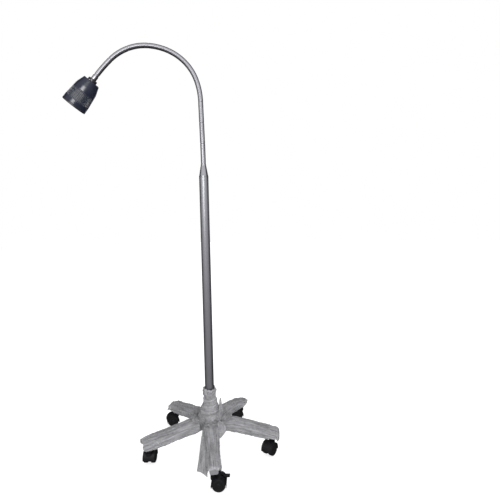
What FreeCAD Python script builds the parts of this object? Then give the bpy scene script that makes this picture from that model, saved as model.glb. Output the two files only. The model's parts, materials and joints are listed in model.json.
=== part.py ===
"""Mobile examination lamp: ribbed head, gooseneck, column and a five-castor star base.

Millimetres, +Z up. The origin is on the floor under the column's axis. The gooseneck
bends in the XZ plane, and the head hangs towards -X. Each node is one separate piece.
"""

import FreeCAD, Part
import math
import os

V = FreeCAD.Vector
UP = V(0, 0, 1)

# Column
COLUMN_R = 19.0
COLUMN_WALL = 1.5
COLUMN_FOOT_Z = 104.0
COLUMN_TOP_Z = 1157.0
GLAND_Z = 320.0

# Gooseneck: ten links of equal length, each an arc with its own turn at rest, in degrees
NECK_START_Z = 1212.0
LINK_LENGTH = 82.8
LINK_TURNS = (1.2, 0.0, 0.0, 18.0, 24.5, 22.5, 19.0, 24.0, 23.0, 7.5)
NECK_R = 10.0
SPIGOT_R = 8.0
SPIGOT_LENGTH = 26.0
SPIGOT_FIT = 0.06
WIRE_BORE_R = 5.0
BALL_R = 7.0
BALL_CLEARANCE = 0.1
LINK_GAP = 2.5

# Head, along its own axis from the rim (0) to the back
RIM_R = 49.0
RIM_CHAMFER = 1.5
HOUSING_FRONT = 7.0
HOUSING_STEP = 0.3
FRONT_BORE_R = 43.0
FRONT_BORE_END = 30.0
WAIST_BORE_R = 41.0
WAIST_BORE_START = 46.0
RIB_START = 24.0
RIB_END = 69.0
RIB_COUNT = 46
RIB_INSET = 2.0
GROOVE_WIDTH = 3.2
GROOVE_DEPTH = 2.4
SHOULDER_START = 88.0
SHOULDER_R = 42.3
BACK_PLATE = 122.0
BACK_R = 32.0
HOUSING_WALL = 2.5
SEAT_GAP = 0.1
LENS_WINDOW_R = 41.0
LENS_R = 42.8
COLLAR_R = 18.0
COLLAR_LENGTH = 11.0
FERRULE_LENGTH = 20.0
SHANK_R = 7.0
BUTTON_R = 5.0
BUTTON_RADIUS_AT = 23.8
SCREW_R = 1.5
SCREW_RADIUS_AT = 24.0
SCREW_ANGLES = (30, 150, 270)

# Star base
CASTOR_CIRCLE_R = 266.5
HUB_R = 44.0
HUB_LOW_Z = 93.0
HUB_TOP_Z = 138.0
BOSS_R = 24.0
BOSS_TOP_Z = 168.0
BOLT_R = 5.0
BOLT_FIT = 0.2
WASHER = 1.6
LEG_WALL = 3.0
# distance out, half width, underside and top of a leg
LEG_SECTIONS = (
    (20, 25, 96, 137),
    (110, 23, 88, 130),
    (190, 20.5, 76, 116),
    (250, 18.5, 68, 101),
    (285, 16, 66, 91),
)
CHANNEL_END_R = 240.0
SOCKET_R = 8.0
SOCKET_TOP_Z = 90.0

# Castors: hooded twin wheels on a swivelling stem
WHEEL_R = 25.0
WHEEL_WIDTH = 16.5
WHEEL_INNER_FACE = 7.0
TRAIL = 18.0
HOOD_R = 28.5
HOOD_INNER_R = 26.2
HOOD_HALF_WIDTH = 24.0
HOOD_LOW_Z = 18.0
WEB_HALF = 6.5
HOOD_TOP_Z = 62.0
AXLE_R = 3.0
STEM_R = 5.5
FIT = 0.08
WHEEL_FIT = 0.06
LEG_UNDERSIDE_Z = 66.0
SLEEVE_FLANGE = 1.5
PEDAL_PIVOT = (16.0, 13.0)

# Each castor: leg direction and the direction that its wheels trail, in degrees from +X
CASTORS = {
    "front": (-81.86, 0.0),
    "right_front": (-9.86, -125.0),
    "right_back": (62.14, 190.0),
    "left_back": (134.14, 200.0),
    "left_front": (206.14, 88.0),
}

# Protective film: how far it stands off each leg at the side, below and above, and its ends
FILM = 2.4
FILM_CLEAR = 0.6
FILM_LOOSE = {
    "front": (3.5, 2.0, 5.0),
    "right_front": (3.5, 2.0, 3.5),
    "right_back": (4.0, 3.0, 5.0),
    "left_back": (4.0, 3.0, 7.0),
    "left_front": (3.5, 3.0, 8.0),
}
FILM_START_R = 64.0
FILM_END_R = 288.0
FILM_HOLE_R = 13.5


def cylinder(radius, low, high, x=0.0, y=0.0):
    return Part.makeCylinder(radius, high - low, V(x, y, low), UP)


def box(x0, x1, y0, y1, z0, z1):
    return Part.makeBox(x1 - x0, y1 - y0, z1 - z0, V(x0, y0, z0))


def revolve(edges):
    """A solid of revolution about Z from edges that close in the XZ plane."""
    face = Part.Face(Part.Wire(edges))
    return face.revolve(V(0, 0, 0), UP, 360)


def lines(points):
    """Straight edges through (radius, height) points, open at the end."""
    at = [V(r, 0, z) for r, z in points]
    return [Part.makeLine(a, b) for a, b in zip(at, at[1:])]


def lathe(points):
    """A turned solid from a closed outline of (radius, height) points."""
    return revolve(lines(list(points) + [points[0]]))


def arc(a, b, c):
    return Part.Arc(V(a[0], 0, a[1]), V(b[0], 0, b[1]), V(c[0], 0, c[1])).toShape()


def ring(outer, inner, low, high):
    return cylinder(outer, low, high).cut(cylinder(inner, low - 1, high + 1))


def hexagon(across_flats, low, high):
    corner = across_flats / math.sqrt(3)
    turns = [math.radians(a) for a in range(0, 361, 60)]
    at = [V(corner * math.cos(a), corner * math.sin(a), low) for a in turns]
    return Part.Face(Part.makePolygon(at)).extrude(V(0, 0, high - low))


def turned(shape, degrees):
    """A copy of shape turned about the column's axis."""
    copy = shape.copy()
    copy.rotate(V(0, 0, 0), UP, degrees)
    return copy


def save(node, *solids):
    """Writes one node: a single solid, or a group of separate solids."""
    shape = solids[0] if len(solids) == 1 else Part.makeCompound(list(solids))
    shape.exportStep("parts/%s.step" % node)


# ---- gooseneck path -------------------------------------------------------------------


def heading(degrees):
    """Unit direction that leans degrees from straight up towards -X."""
    a = math.radians(degrees)
    return V(-math.sin(a), 0, math.cos(a))


def along(start, lean, turn, distance, length):
    """The point and lean at a distance along an arc that turns by turn over length."""
    if abs(turn) < 1e-9:
        return start + heading(lean) * distance, lean
    radius = length / math.radians(turn)
    swept = math.radians(turn) * distance / length
    a = math.radians(lean)
    side = radius * (math.cos(a + swept) - math.cos(a))
    rise = radius * (math.sin(a + swept) - math.sin(a))
    return start + V(side, 0, rise), lean + math.degrees(swept)


def joint_frames():
    """The point and lean of each neck joint, from the cone's mouth to the head's ferrule."""
    point, lean = V(0, 0, NECK_START_Z), 0.0
    frames = [(point, lean)]
    for turn in LINK_TURNS:
        point, lean = along(point, lean, turn, LINK_LENGTH, LINK_LENGTH)
        frames.append((point, lean))
    return frames


def bent_bar(start, lean, turn, first, last, radius):
    """A round bar that follows a link's centreline between two distances along it."""
    point, point_lean = along(start, lean, turn, first, LINK_LENGTH)
    if abs(turn) < 1e-9:
        return Part.makeCylinder(radius, last - first, point, heading(point_lean))
    face = Part.Face(Part.Wire(Part.makeCircle(radius, point, heading(point_lean))))
    bend = LINK_LENGTH / math.radians(turn)
    centre = start + V(-math.cos(math.radians(lean)), 0, -math.sin(math.radians(lean))) * bend
    return face.revolve(centre, V(0, -1, 0), turn * (last - first) / LINK_LENGTH)


def neck_link(start, lean, turn):
    """One link: a tube with a ball on its lower end and a cup in its upper end."""
    end, _ = along(start, lean, turn, LINK_LENGTH, LINK_LENGTH)
    body = bent_bar(start, lean, turn, LINK_GAP, LINK_LENGTH - LINK_GAP, NECK_R)
    body = body.fuse(Part.makeSphere(BALL_R, start))
    body = body.cut(Part.makeSphere(BALL_R + BALL_CLEARANCE, end))
    return body.cut(bent_bar(start, lean, turn, -BALL_R - 2, LINK_LENGTH, WIRE_BORE_R))


def make_neck(frames):
    for number, turn in enumerate(LINK_TURNS, 1):
        start, lean = frames[number - 1]
        save("neck_link_%02d" % number, neck_link(start, lean, turn))


def make_neck_cone():
    """The turned cone on the column: collar, taper, and a spigot that turns in the plug."""
    mouth = NECK_START_Z - LINK_GAP
    low = COLUMN_TOP_Z + 0.4
    foot = COLUMN_TOP_Z - SPIGOT_LENGTH
    outline = (
        (WIRE_BORE_R, foot), (SPIGOT_R, foot), (SPIGOT_R, low), (COLUMN_R, low), (COLUMN_R, low + 5),
        (COLUMN_R - 1, low + 7), (11.5, mouth - 8), (NECK_R + 0.5, mouth - 5),
        (NECK_R + 0.5, mouth), (WIRE_BORE_R, mouth),
    )
    cone = lathe(outline)
    save("neck_cone", cone.cut(Part.makeSphere(BALL_R + BALL_CLEARANCE, V(0, 0, NECK_START_Z))))


# ---- head -----------------------------------------------------------------------------


def housing():
    """The cast shell: smooth band, ribbed taper, and a steeper taper to the back plate."""
    wall = HOUSING_WALL
    front_r = RIM_R - HOUSING_STEP
    shell = lathe((
        (FRONT_BORE_R, HOUSING_FRONT), (front_r, HOUSING_FRONT), (front_r, RIB_START),
        (SHOULDER_R, SHOULDER_START), (BACK_R + 0.7, BACK_PLATE - 2), (BACK_R - 0.8, BACK_PLATE),
        (SHANK_R, BACK_PLATE), (SHANK_R, BACK_PLATE - wall), (BACK_R - wall, BACK_PLATE - wall),
        (SHOULDER_R - wall, SHOULDER_START), (WAIST_BORE_R, RIB_END + 1),
        (WAIST_BORE_R, WAIST_BORE_START), (FRONT_BORE_R, FRONT_BORE_END),
    ))
    taper = (front_r - SHOULDER_R) / (SHOULDER_START - RIB_START)
    low, high = RIB_START + RIB_INSET, RIB_END - RIB_INSET
    floor_r = front_r - RIB_INSET * taper - GROOVE_DEPTH
    groove = box(floor_r, floor_r + 10, -GROOVE_WIDTH / 2, GROOVE_WIDTH / 2, low, high)
    groove.rotate(V(floor_r, 0, low), V(0, 1, 0), -math.degrees(math.atan(taper)))
    cuts = [turned(groove, i * 360.0 / RIB_COUNT) for i in range(RIB_COUNT)]
    cuts.append(cylinder(BUTTON_R + 0.3, 110, 130, 0, BUTTON_RADIUS_AT))
    cuts += [turned(cylinder(SCREW_R + SEAT_GAP, 110, 130, SCREW_RADIUS_AT), a) for a in SCREW_ANGLES]
    return shell.cut(Part.makeCompound(cuts))


def front_bezel():
    """The black front ring, with a pocket for the lens and a lip that centres it in the shell."""
    pocket = LENS_R + SEAT_GAP
    lip = pocket - 1.3
    back = HOUSING_FRONT
    return lathe((
        (LENS_WINDOW_R, 0), (RIM_R - RIM_CHAMFER, 0), (RIM_R, RIM_CHAMFER), (RIM_R, back),
        (pocket, back), (pocket, 12), (lip, 12), (lip, back), (pocket, back - 0.2), (pocket, 2.5),
        (LENS_WINDOW_R, 2.5),
    ))


def front_lens():
    """A shallow plano-convex cover lens."""
    front, back, bulge = 2.6, 5.4, 1.4
    radius = (LENS_R ** 2 + bulge ** 2) / (2 * bulge)
    dome = Part.makeSphere(radius, V(0, 0, front - bulge + radius))
    return cylinder(LENS_R, front - bulge, back).common(dome)


def reflector():
    """A thin parabolic bowl with a flange behind the lens."""
    outer = lines([(41.4, 12.2), (41.4, 13.6), (39.5, 13.6)])
    outer.append(arc((39.5, 13.6), (29.7, 36), (10.5, 50)))
    outer += lines([(10.5, 50), (9.3, 49.2)])
    outer.append(arc((9.3, 49.2), (28.7, 35), (38.3, 12.2)))
    outer += lines([(38.3, 12.2), (41.4, 12.2)])
    return revolve(outer)


def led_board():
    board = cylinder(13, 50.4, 52)
    lamp = cylinder(4.5, 48.9, 50.4).fuse(Part.makeSphere(3.5, V(0, 0, 48.9), V(0, 0, -1), 0, 90, 360))
    return board.fuse(lamp)


def heat_spreader():
    """The aluminium block behind the lamp: plate, core, fins and three screw posts."""
    inside = BACK_PLATE - HOUSING_WALL
    fins = [turned(box(10, 38.5, -0.9, 0.9, 57, 74), a) for a in range(0, 360, 30)]
    posts = [turned(cylinder(3.4, 57, inside, SCREW_RADIUS_AT), a) for a in SCREW_ANGLES]
    block = cylinder(WAIST_BORE_R - SEAT_GAP, 52, 58).fuse([cylinder(14, 57, 74)] + fins + posts)
    holes = [turned(cylinder(SCREW_R, 106, 125, SCREW_RADIUS_AT), a) for a in SCREW_ANGLES]
    return block.cut(Part.makeCompound(holes))


def driver_board():
    """The round supply board with its coil, capacitor and converter."""
    board = cylinder(20, 82, 83.6)
    parts = [cylinder(5, 83, 96, -9, 6), box(2, 14, -8, 4, 83, 91), cylinder(3.2, 83, 90, 4, 12)]
    return board.fuse(parts)


def neck_ferrule():
    """The threaded end of the gooseneck: ball, sleeve, and a shank through the back plate."""
    joint = BACK_PLATE + COLLAR_LENGTH + FERRULE_LENGTH
    back = BACK_PLATE + COLLAR_LENGTH
    sleeve = lathe((
        (0, 106), (SHANK_R, 106), (SHANK_R, back), (NECK_R + 0.5, back),
        (NECK_R + 0.5, joint - LINK_GAP), (0, joint - LINK_GAP),
    ))
    sleeve = sleeve.fuse(Part.makeSphere(BALL_R, V(0, 0, joint)))
    return sleeve.cut(cylinder(WIRE_BORE_R, 100, joint + 10))


def push_button():
    cap = lathe(((0, 117), (BUTTON_R, 117), (BUTTON_R, 125), (BUTTON_R - 1, 126), (0, 126)))
    return cap.fuse(cylinder(3, 111, 118))


def switch_body():
    return cylinder(6, 98, 114.5).cut(cylinder(3.3, 108.5, 115))


def head_screws():
    top = BACK_PLATE + 2
    one = lathe((
        (0, 108), (SCREW_R, 108), (SCREW_R, BACK_PLATE), (2.8, BACK_PLATE), (2.8, top - 0.6),
        (2.2, top), (0, top),
    ))
    one.translate(V(SCREW_RADIUS_AT, 0, 0))
    return [turned(one, a) for a in SCREW_ANGLES]


def make_head(frames):
    point, lean = frames[-1]
    reach = BACK_PLATE + COLLAR_LENGTH + FERRULE_LENGTH
    rim = point + heading(lean) * reach
    place = FreeCAD.Placement(rim, FreeCAD.Rotation(V(0, 1, 0), 180 - lean))
    back = BACK_PLATE + COLLAR_LENGTH
    collar = lathe((
        (SHANK_R, BACK_PLATE), (COLLAR_R, BACK_PLATE), (COLLAR_R, back - 2), (COLLAR_R - 2, back),
        (SHANK_R, back),
    ))
    button = push_button()
    switch = switch_body()
    for piece in (button, switch):
        piece.translate(V(0, BUTTON_RADIUS_AT, 0))
    pieces = {
        "head_housing": [housing()],
        "front_bezel": [front_bezel()],
        "front_lens": [front_lens()],
        "lens_gasket": [ring(LENS_R, LENS_R - 3.3, 5.5, 6.6)],
        "reflector": [reflector()],
        "led_board": [led_board()],
        "heat_spreader": [heat_spreader()],
        "driver_board": [driver_board()],
        "rear_collar": [collar],
        "neck_ferrule": [neck_ferrule()],
        "neck_nut": [hexagon(22, 113.5, BACK_PLATE - HOUSING_WALL).cut(cylinder(SHANK_R, 100, 130))],
        "push_button": [button],
        "switch_body": [switch],
        "head_screws": head_screws(),
    }
    for node, solids in pieces.items():
        for solid in solids:
            solid.Placement = place.multiply(solid.Placement)
        save(node, *solids)


# ---- column ---------------------------------------------------------------------------


def make_column():
    inner = COLUMN_R - COLUMN_WALL
    tube = ring(COLUMN_R, inner, COLUMN_FOOT_Z, COLUMN_TOP_Z)
    side = V(0, 1, 0)
    tube = tube.cut(Part.makeCylinder(6, 10, V(0, 14, GLAND_Z), side))
    save("column_tube", tube)
    plug = ring(inner, SPIGOT_R + SPIGOT_FIT, COLUMN_TOP_Z - SPIGOT_LENGTH - 4, COLUMN_TOP_Z)
    save("column_plug", plug)
    save("foot_bush", ring(inner, BOLT_R, COLUMN_FOOT_Z, COLUMN_FOOT_Z + 24))
    under = HUB_LOW_Z - WASHER
    bolt = cylinder(BOLT_R, under, COLUMN_FOOT_Z + 20).fuse(hexagon(17, under - 6.4, under))
    save("tie_bolt", bolt)
    save("tie_washer", ring(11, BOLT_R + BOLT_FIT, under, HUB_LOW_Z))
    gland = Part.makeCylinder(6, 22, V(0, 12, GLAND_Z), side)
    gland = gland.fuse(Part.makeCylinder(9, 3, V(0, COLUMN_R, GLAND_Z), side))
    gland = gland.fuse(Part.makeCone(8, 6.5, 10, V(0, 22, GLAND_Z), side))
    gland = gland.cut(Part.makeCylinder(3.2, 30, V(0, 8, GLAND_Z), side))
    save("cable_gland", gland)


# ---- star base ------------------------------------------------------------------------


def section(distance, half_width, low, high, corner):
    """A rounded rectangle across a leg, at a distance out along +X."""
    y, c = half_width, corner
    k = c * (1 - math.sqrt(0.5))
    straight = [
        ((y - c, low), (c - y, low)),
        ((-y, low + c), (-y, high - c)),
        ((c - y, high), (y - c, high)),
        ((y, high - c), (y, low + c)),
    ]
    middle = [(-y + k, low + k), (-y + k, high - k), (y - k, high - k), (y - k, low + k)]
    edges = []
    for i, (a, b) in enumerate(straight):
        following = straight[(i + 1) % 4][0]
        edges.append(Part.makeLine(V(distance, *a), V(distance, *b)))
        edges.append(Part.Arc(V(distance, *b), V(distance, *middle[i]), V(distance, *following)).toShape())
    return Part.Wire(edges)


def leg_size(distance):
    """Half width, underside and top of a leg at a distance out, between its sections."""
    for a, b in zip(LEG_SECTIONS, LEG_SECTIONS[1:]):
        if distance <= b[0]:
            break
    t = (distance - a[0]) / (b[0] - a[0])
    return [p + (q - p) * t for p, q in zip(a[1:], b[1:])]


def leg_loft(stations, side=0.0, below=0.0, above=0.0, corner=7.0):
    """A leg-shaped solid that stands off the leg's own surface by the given amounts."""
    wires = []
    for distance in stations:
        half, low, high = leg_size(distance)
        wires.append(section(distance, half + side, low - below, high + above, corner))
    return Part.makeLoft(wires, True, True)


def star_base():
    """A hub and five channel-shaped legs in one casting."""
    leg = leg_loft([s[0] for s in LEG_SECTIONS])
    channel = leg_loft((56, 110, 190, CHANNEL_END_R), -LEG_WALL, 12, -LEG_WALL, 4.0)
    hub = cylinder(HUB_R, HUB_LOW_Z, HUB_TOP_Z).fuse(cylinder(BOSS_R, HUB_TOP_Z - 1, BOSS_TOP_Z))
    angles = [leg_angle for leg_angle, _ in CASTORS.values()]
    base = hub.fuse([turned(leg, a) for a in angles])
    sockets = [turned(cylinder(SOCKET_R, 60, SOCKET_TOP_Z, CASTOR_CIRCLE_R), a) for a in angles]
    cuts = [turned(channel, a) for a in angles] + sockets
    cuts += [cylinder(COLUMN_R, COLUMN_FOOT_Z, 200), cylinder(BOLT_R + BOLT_FIT, 80, 120)]
    return base.cut(Part.makeCompound(cuts))


def make_base():
    save("star_base", star_base())
    inner = STEM_R + FIT
    under = LEG_UNDERSIDE_Z
    sleeve = ring(SOCKET_R, inner, under, SOCKET_TOP_Z).fuse(ring(10.5, inner, under - SLEEVE_FLANGE, under))
    sleeve.translate(V(CASTOR_CIRCLE_R, 0, 0))
    save("castor_sleeves", *[turned(sleeve, leg_angle) for leg_angle, _ in CASTORS.values()])


# ---- castors --------------------------------------------------------------------------


def across(radius, half, x, z, y0=None):
    """A cylinder along Y at (x, z), centred, or from y0 to half."""
    y0 = -half if y0 is None else y0
    return Part.makeCylinder(radius, half - y0, V(x, y0, z), V(0, 1, 0))


def castor_hood(braked):
    """The moulded body: a web between the wheels, a hood over them and the stem's boss."""
    hood = across(HOOD_R, HOOD_HALF_WIDTH, TRAIL, WHEEL_R)
    hood = hood.cut(box(-20, 60, -30, 30, -10, HOOD_LOW_Z))
    hood = hood.fuse(cylinder(10, 40, HOOD_TOP_Z))
    hood = hood.fuse(cylinder(13, 40, 52))
    for side in (1, -1):
        low, high = sorted((side * WEB_HALF, side * 30))
        hood = hood.cut(Part.makeCylinder(HOOD_INNER_R, high - low, V(TRAIL, low, WHEEL_R), V(0, 1, 0)))
    hood = hood.cut(cylinder(4, 38, 70)).cut(across(AXLE_R, 10, TRAIL, WHEEL_R))
    if braked:
        hood = hood.cut(box(TRAIL + 8, TRAIL + 40, -4, 4, 30, 60))
    return hood


def castor_stem():
    """The steel stem: spigot in the hood, collar, and a grooved shank in the leg's sleeve."""
    collar_top = LEG_UNDERSIDE_Z - SLEEVE_FLANGE - 0.4
    return lathe((
        (0, 38), (4, 38), (4, HOOD_TOP_Z), (9, HOOD_TOP_Z), (9, collar_top), (STEM_R, collar_top),
        (STEM_R, 79), (STEM_R - 0.8, 79.6), (STEM_R - 0.8, 82.4), (STEM_R, 83), (STEM_R, 86),
        (STEM_R - 1.5, 88), (0, 88),
    ))


def castor_wheel(side):
    """One wheel: rounded tread, a dished outer face and a blind bore for the axle."""
    w = WHEEL_WIDTH
    bore = AXLE_R + WHEEL_FIT
    face = lines([(bore, 0), (WHEEL_R - 1.5, 0), (WHEEL_R, 1.5), (WHEEL_R, w - 4)])
    face.append(arc((WHEEL_R, w - 4), (WHEEL_R - 1.2, w - 1.2), (WHEEL_R - 4, w)))
    face += lines([
        (WHEEL_R - 4, w), (17.5, w), (16.5, w - 1.6), (7, w - 1.6), (5.5, w - 0.4), (0, w - 0.4),
        (0, w - 2.6), (bore, w - 2.6), (bore, 0),
    ])
    wheel = revolve(face)
    wheel.rotate(V(0, 0, 0), V(1, 0, 0), -90 * side)
    wheel.translate(V(TRAIL, side * WHEEL_INNER_FACE, WHEEL_R))
    return wheel


def brake_lever():
    """The pedal: an arm on a pin in the web's slot, and a pad that the foot presses."""
    px, pz = TRAIL + PEDAL_PIVOT[0], WHEEL_R + PEDAL_PIVOT[1]
    corners = [(px - 3, pz + 2), (px + 3, pz - 2), (px + 12, pz + 11), (px + 6, pz + 14), (px - 3, pz + 2)]
    arm = Part.Face(Part.makePolygon([V(x, -3.4, z) for x, z in corners])).extrude(V(0, 6.8, 0))
    pad = box(px + 5, px + 25, -8, 8, pz + 10.5, pz + 14)
    pad = pad.makeFillet(1.5, [e for e in pad.Edges if abs(e.Length - 3.5) < 0.01])
    return arm.fuse([pad, across(3.6, 3.4, px, pz)])


def make_castors():
    for name, (leg_angle, trail_angle) in CASTORS.items():
        braked = name == "front"
        pieces = {
            "castor_hood": [castor_hood(braked)],
            "castor_stem": [castor_stem()],
            "castor_axle": [across(AXLE_R, WHEEL_INNER_FACE + 13, TRAIL, WHEEL_R)],
            "castor_wheels": [castor_wheel(1), castor_wheel(-1)],
        }
        if braked:
            pieces["brake_lever"] = [brake_lever()]
        a = math.radians(leg_angle)
        at = V(CASTOR_CIRCLE_R * math.cos(a), CASTOR_CIRCLE_R * math.sin(a), 0)
        place = FreeCAD.Placement(at, FreeCAD.Rotation(UP, trail_angle))
        for node, solids in pieces.items():
            for solid in solids:
                solid.Placement = place.multiply(solid.Placement)
            save(node if node == "brake_lever" else "%s_%s" % (node, name), *solids)


# ---- protective film ------------------------------------------------------------------


def leg_wrap(name):
    """A sleeve of packing film around one leg, open at both ends."""
    side, below, above = FILM_LOOSE[name]
    stations = (FILM_START_R, 110, 190, 250, FILM_END_R - 4)
    outer = leg_loft(stations, side, below, above, 12.0)
    past_ends = (FILM_START_R - 3,) + stations[1:4] + (FILM_END_R,)
    inner = leg_loft(past_ends, side - FILM, FILM_CLEAR, above - FILM, 9.0)
    castor_hole = cylinder(FILM_HOLE_R, 50, LEG_UNDERSIDE_Z + 4, CASTOR_CIRCLE_R)
    return outer.cut(inner).cut(castor_hole)


def hub_wrap():
    """The film gathered around the column's foot, spreading over the hub."""
    film = FILM
    outer = ((22.6, 271), (23.4, 236), (27, 190), (30, 166), (38, 152), (58, 144))
    inner = [(r - film, z) for r, z in outer[:4]] + [(38 - film, 152 - film), (58, 144 - film)]
    return lathe(list(outer) + inner[::-1])


def make_film():
    for name, (leg_angle, _) in CASTORS.items():
        save("leg_wrap_" + name, turned(leg_wrap(name), leg_angle))
    save("hub_wrap", hub_wrap())


def main():
    os.makedirs("parts", exist_ok=True)
    frames = joint_frames()
    make_base()
    make_castors()
    make_column()
    make_neck_cone()
    make_neck(frames)
    make_head(frames)
    make_film()


main()
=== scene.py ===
import json
import math

import bmesh
import bpy
import numpy as np
from mathutils import Matrix, Vector, noise
from mathutils.bvhtree import BVHTree

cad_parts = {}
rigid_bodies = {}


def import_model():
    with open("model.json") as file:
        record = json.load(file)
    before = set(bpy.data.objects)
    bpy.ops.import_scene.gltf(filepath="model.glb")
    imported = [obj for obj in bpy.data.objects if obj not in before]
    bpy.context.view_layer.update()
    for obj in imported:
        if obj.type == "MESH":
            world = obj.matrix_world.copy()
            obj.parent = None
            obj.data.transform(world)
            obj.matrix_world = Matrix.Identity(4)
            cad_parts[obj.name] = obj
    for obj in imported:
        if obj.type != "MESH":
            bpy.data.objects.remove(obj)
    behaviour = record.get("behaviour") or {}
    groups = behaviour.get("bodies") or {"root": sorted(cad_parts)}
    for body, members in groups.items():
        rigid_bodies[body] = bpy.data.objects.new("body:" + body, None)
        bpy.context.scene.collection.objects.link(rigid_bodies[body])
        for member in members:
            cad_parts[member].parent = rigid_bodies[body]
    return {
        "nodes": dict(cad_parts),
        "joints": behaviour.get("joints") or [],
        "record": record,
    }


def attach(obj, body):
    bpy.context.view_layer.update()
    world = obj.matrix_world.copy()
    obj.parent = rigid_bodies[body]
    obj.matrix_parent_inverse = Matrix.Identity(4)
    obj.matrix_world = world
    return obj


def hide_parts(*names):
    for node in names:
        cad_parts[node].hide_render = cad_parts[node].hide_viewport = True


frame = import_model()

scene = bpy.context.scene
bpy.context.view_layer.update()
MM = 0.001
JOINTS = {j["name"]: j for j in frame["joints"]}
NODES = frame["nodes"]


# ---- node helpers ---------------------------------------------------------------------


class Graph:
    """Short calls for building a node tree."""

    def __init__(self, tree):
        self.tree = tree

    def add(self, kind, values=None, **settings):
        node = self.tree.nodes.new(kind)
        for key, value in settings.items():
            setattr(node, key, value)
        for key, value in (values or {}).items():
            if isinstance(value, bpy.types.NodeSocket):
                self.tree.links.new(value, node.inputs[key])
            else:
                node.inputs[key].default_value = value
        return node

    def math(self, operation, a, b=0.0):
        return self.add("ShaderNodeMath", {0: a, 1: b}, operation=operation).outputs[0]

    def noise(self, vector, scale, detail=4.0, rough=0.55, distortion=0.0):
        values = {
            "Vector": vector,
            "Scale": scale,
            "Detail": detail,
            "Roughness": rough,
            "Distortion": distortion,
        }
        return self.add("ShaderNodeTexNoise", values).outputs["Fac"]

    def stretch(self, vector, scale):
        return self.add("ShaderNodeMapping", {"Vector": vector, "Scale": scale}).outputs["Vector"]

    def span(self, value, low, high, to_low, to_high, smooth=False):
        kind = "SMOOTHSTEP" if smooth else "LINEAR"
        values = {"Value": value, "From Min": low, "From Max": high, "To Min": to_low, "To Max": to_high}
        return self.add("ShaderNodeMapRange", values, interpolation_type=kind).outputs["Result"]

    def mix(self, factor, a, b):
        """Blends two colours; the node's colour sockets are inputs 6 and 7 and output 2."""
        node = self.add("ShaderNodeMix", data_type="RGBA")
        for socket, value in ((node.inputs[0], factor), (node.inputs[6], a), (node.inputs[7], b)):
            if isinstance(value, bpy.types.NodeSocket):
                self.tree.links.new(value, socket)
            else:
                socket.default_value = value
        return node.outputs[2]

    def bump(self, height, strength, distance, normal=None):
        values = {"Height": height, "Strength": strength, "Distance": distance}
        if normal is not None:
            values["Normal"] = normal
        return self.add("ShaderNodeBump", values).outputs["Normal"]


def shade_group(name, inputs, outputs):
    """An empty shader group; gives its tree, its input node and its output node."""
    tree = bpy.data.node_groups.new(name, "ShaderNodeTree")
    for label, kind, value in inputs:
        socket = tree.interface.new_socket(label, in_out="INPUT", socket_type=kind)
        socket.default_value = value
    for label, kind in outputs:
        tree.interface.new_socket(label, in_out="OUTPUT", socket_type=kind)
    return tree, tree.nodes.new("NodeGroupInput"), tree.nodes.new("NodeGroupOutput")


def handled_group():
    """Finger smudges, fine scratches and dust, for anything that is touched."""
    tree, given, out = shade_group(
        "handled_surface",
        [
            ("Vector", "NodeSocketVector", (0, 0, 0)),
            ("Grain scale", "NodeSocketFloat", 900.0),
            ("Smudge scale", "NodeSocketFloat", 22.0),
        ],
        [(label, "NodeSocketFloat") for label in ("Grain", "Smudge", "Scratch", "Dust")],
    )
    g = Graph(tree)
    grain = g.noise(given.outputs["Vector"], given.outputs["Grain scale"], 3.0)
    smudge = g.noise(given.outputs["Vector"], given.outputs["Smudge scale"], 5.0, 0.6, 0.8)
    bent = g.noise(g.stretch(given.outputs["Vector"], (40, 900, 60)), 1.0, 2.0, 0.5, 1.5)
    scratch = g.span(bent, 0.66, 0.72, 0.0, 1.0)
    specks = g.noise(given.outputs["Vector"], 2600.0, 1.0)
    dust = g.math("MULTIPLY", g.span(specks, 0.76, 0.84, 0.0, 1.0), g.span(smudge, 0.4, 0.7, 0.0, 1.0))
    for label, value in (("Grain", grain), ("Smudge", smudge), ("Scratch", scratch), ("Dust", dust)):
        tree.links.new(value, out.inputs[label])
    return tree


def edge_group():
    """How much a corner has rubbed: 1 on a crest, 0 on a flat."""
    tree, given, out = shade_group(
        "rubbed_edges",
        [("Vector", "NodeSocketVector", (0, 0, 0)), ("Reach", "NodeSocketFloat", 0.06)],
        [("Edge", "NodeSocketFloat")],
    )
    g = Graph(tree)
    point = g.add("ShaderNodeNewGeometry").outputs["Pointiness"]
    crest = g.span(point, 0.5, g.math("ADD", 0.5, given.outputs["Reach"]), 0.0, 1.0)
    broken = g.span(g.noise(given.outputs["Vector"], 160.0, 4.0), 0.35, 0.65, 0.0, 1.0)
    tree.links.new(g.math("MULTIPLY", crest, broken), out.inputs["Edge"])
    return tree


def turned_group():
    """Fine rings left by turning or polishing round the piece's own upright axis."""
    tree, given, out = shade_group(
        "polish_rings",
        [("Vector", "NodeSocketVector", (0, 0, 0)), ("Along", "NodeSocketFloat", 2600.0)],
        [("Rings", "NodeSocketFloat"), ("Bands", "NodeSocketFloat")],
    )
    g = Graph(tree)
    parts = g.add("ShaderNodeSeparateXYZ", {0: given.outputs["Vector"]})
    wide = g.math("MULTIPLY", parts.outputs["X"], 60.0)
    deep = g.math("MULTIPLY", parts.outputs["Y"], 60.0)
    tall = g.math("MULTIPLY", parts.outputs["Z"], given.outputs["Along"])
    flat = g.add("ShaderNodeCombineXYZ", {0: wide, 1: deep, 2: tall}).outputs[0]
    tree.links.new(g.noise(flat, 1.0, 3.0, 0.6), out.inputs["Rings"])
    slow_rise = g.math("MULTIPLY", parts.outputs["Z"], 9.0)
    slow = g.add("ShaderNodeCombineXYZ", {0: wide, 1: deep, 2: slow_rise}).outputs[0]
    tree.links.new(g.noise(slow, 0.4, 4.0, 0.6), out.inputs["Bands"])
    return tree


HANDLED = handled_group()
EDGES = edge_group()
RINGS = turned_group()


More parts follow.
